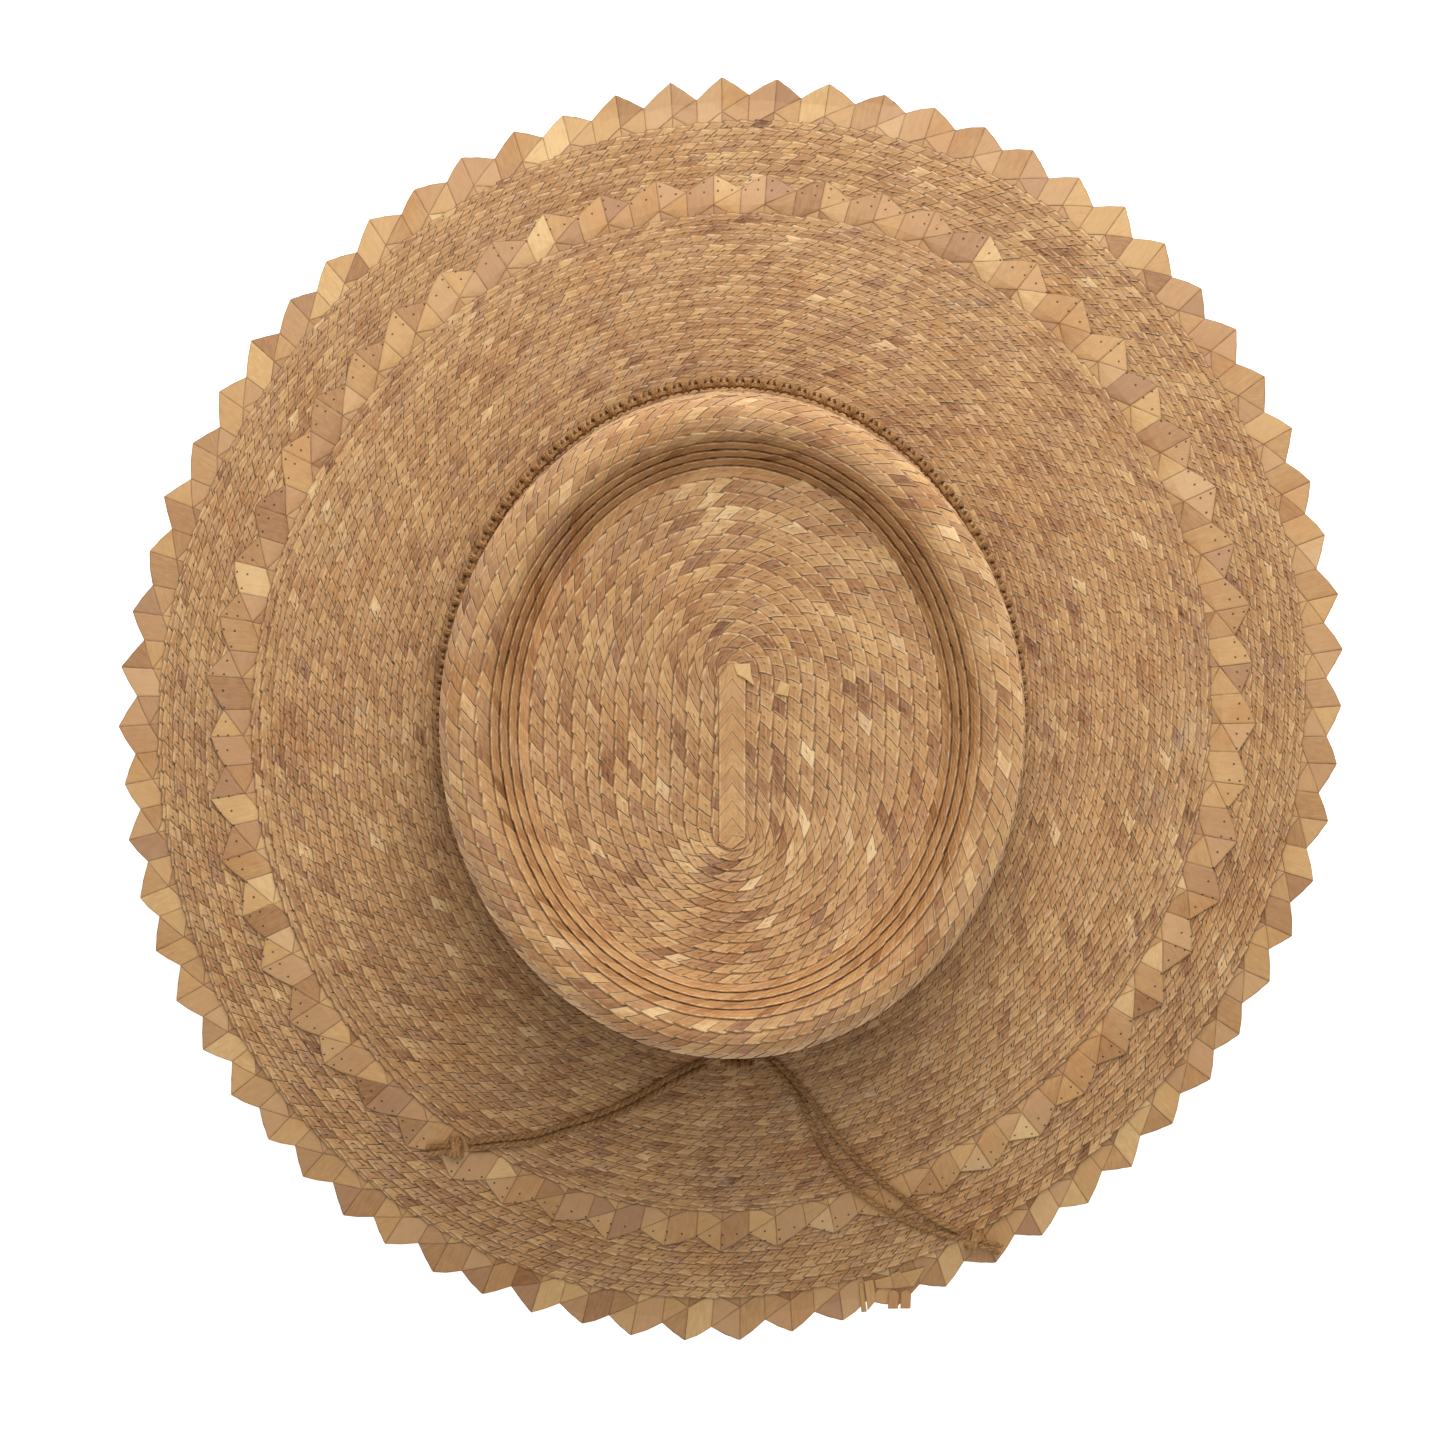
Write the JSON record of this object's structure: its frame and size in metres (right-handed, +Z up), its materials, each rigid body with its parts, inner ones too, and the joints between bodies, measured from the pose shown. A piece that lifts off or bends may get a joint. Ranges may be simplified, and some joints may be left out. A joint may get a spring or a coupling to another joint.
{
  "type": "woven straw hat",
  "caption": "Wide-brimmed palm-leaf hat with an oval flat-topped crown, sunk floor, toothed edge plait, inset zigzag plait and a tied cord hatband.",
  "frame": {"origin": "middle of the box of the hat without its cord tails, on the surface that the brim rests on", "axes": "+Z up through the crown, +Y towards the back of the hat along its length, -Y the side with the tie, +X to the wearer's right"},
  "size_m": [0.4018, 0.4244, 0.1276],
  "materials": {
    "straw": "sewn palm-leaf plait, dry, satin",
    "straw_light": "wide palm-leaf strands, satin",
    "straw_splice": "cut palm-leaf strand ends, satin",
    "cord": "twisted plant-fibre cord, matt",
    "cotton": "undyed woven cotton, matt"
  },
  "bodies": {
    "hat": {"crown_starter": "straw_light", "crown_top_plait": "straw", "recess_turn_1": "straw", "recess_turn_2": "straw", "recess_turn_3": "straw", "recess_turn_4": "straw", "crown_rim_plait": "straw", "crown_wall_plait": "straw", "brim_fold_turn": "straw", "brim_inner_plait": "straw", "brim_zigzag_band": "straw_light", "brim_outer_plait": "straw", "brim_sawtooth_edge": "straw_light", "edge_loose_end_1": "straw_splice", "edge_loose_end_2": "straw_splice", "sweatband": "cotton"},
    "hatband": {"hatband": "cord", "hatband_tie_knot": "cord", "tail_left_a": "cord", "tail_left_b": "cord", "tail_right_a": "cord", "tail_right_b": "cord", "tail_left_knot": "cord", "tail_right_knot": "cord"}
  },
  "joints": [
    {"name": "hatband_lift", "type": "slide", "parent": "hat", "child": "hatband", "axis": [0, 0, 1], "range_m": [0, 0.12]}
  ]
}
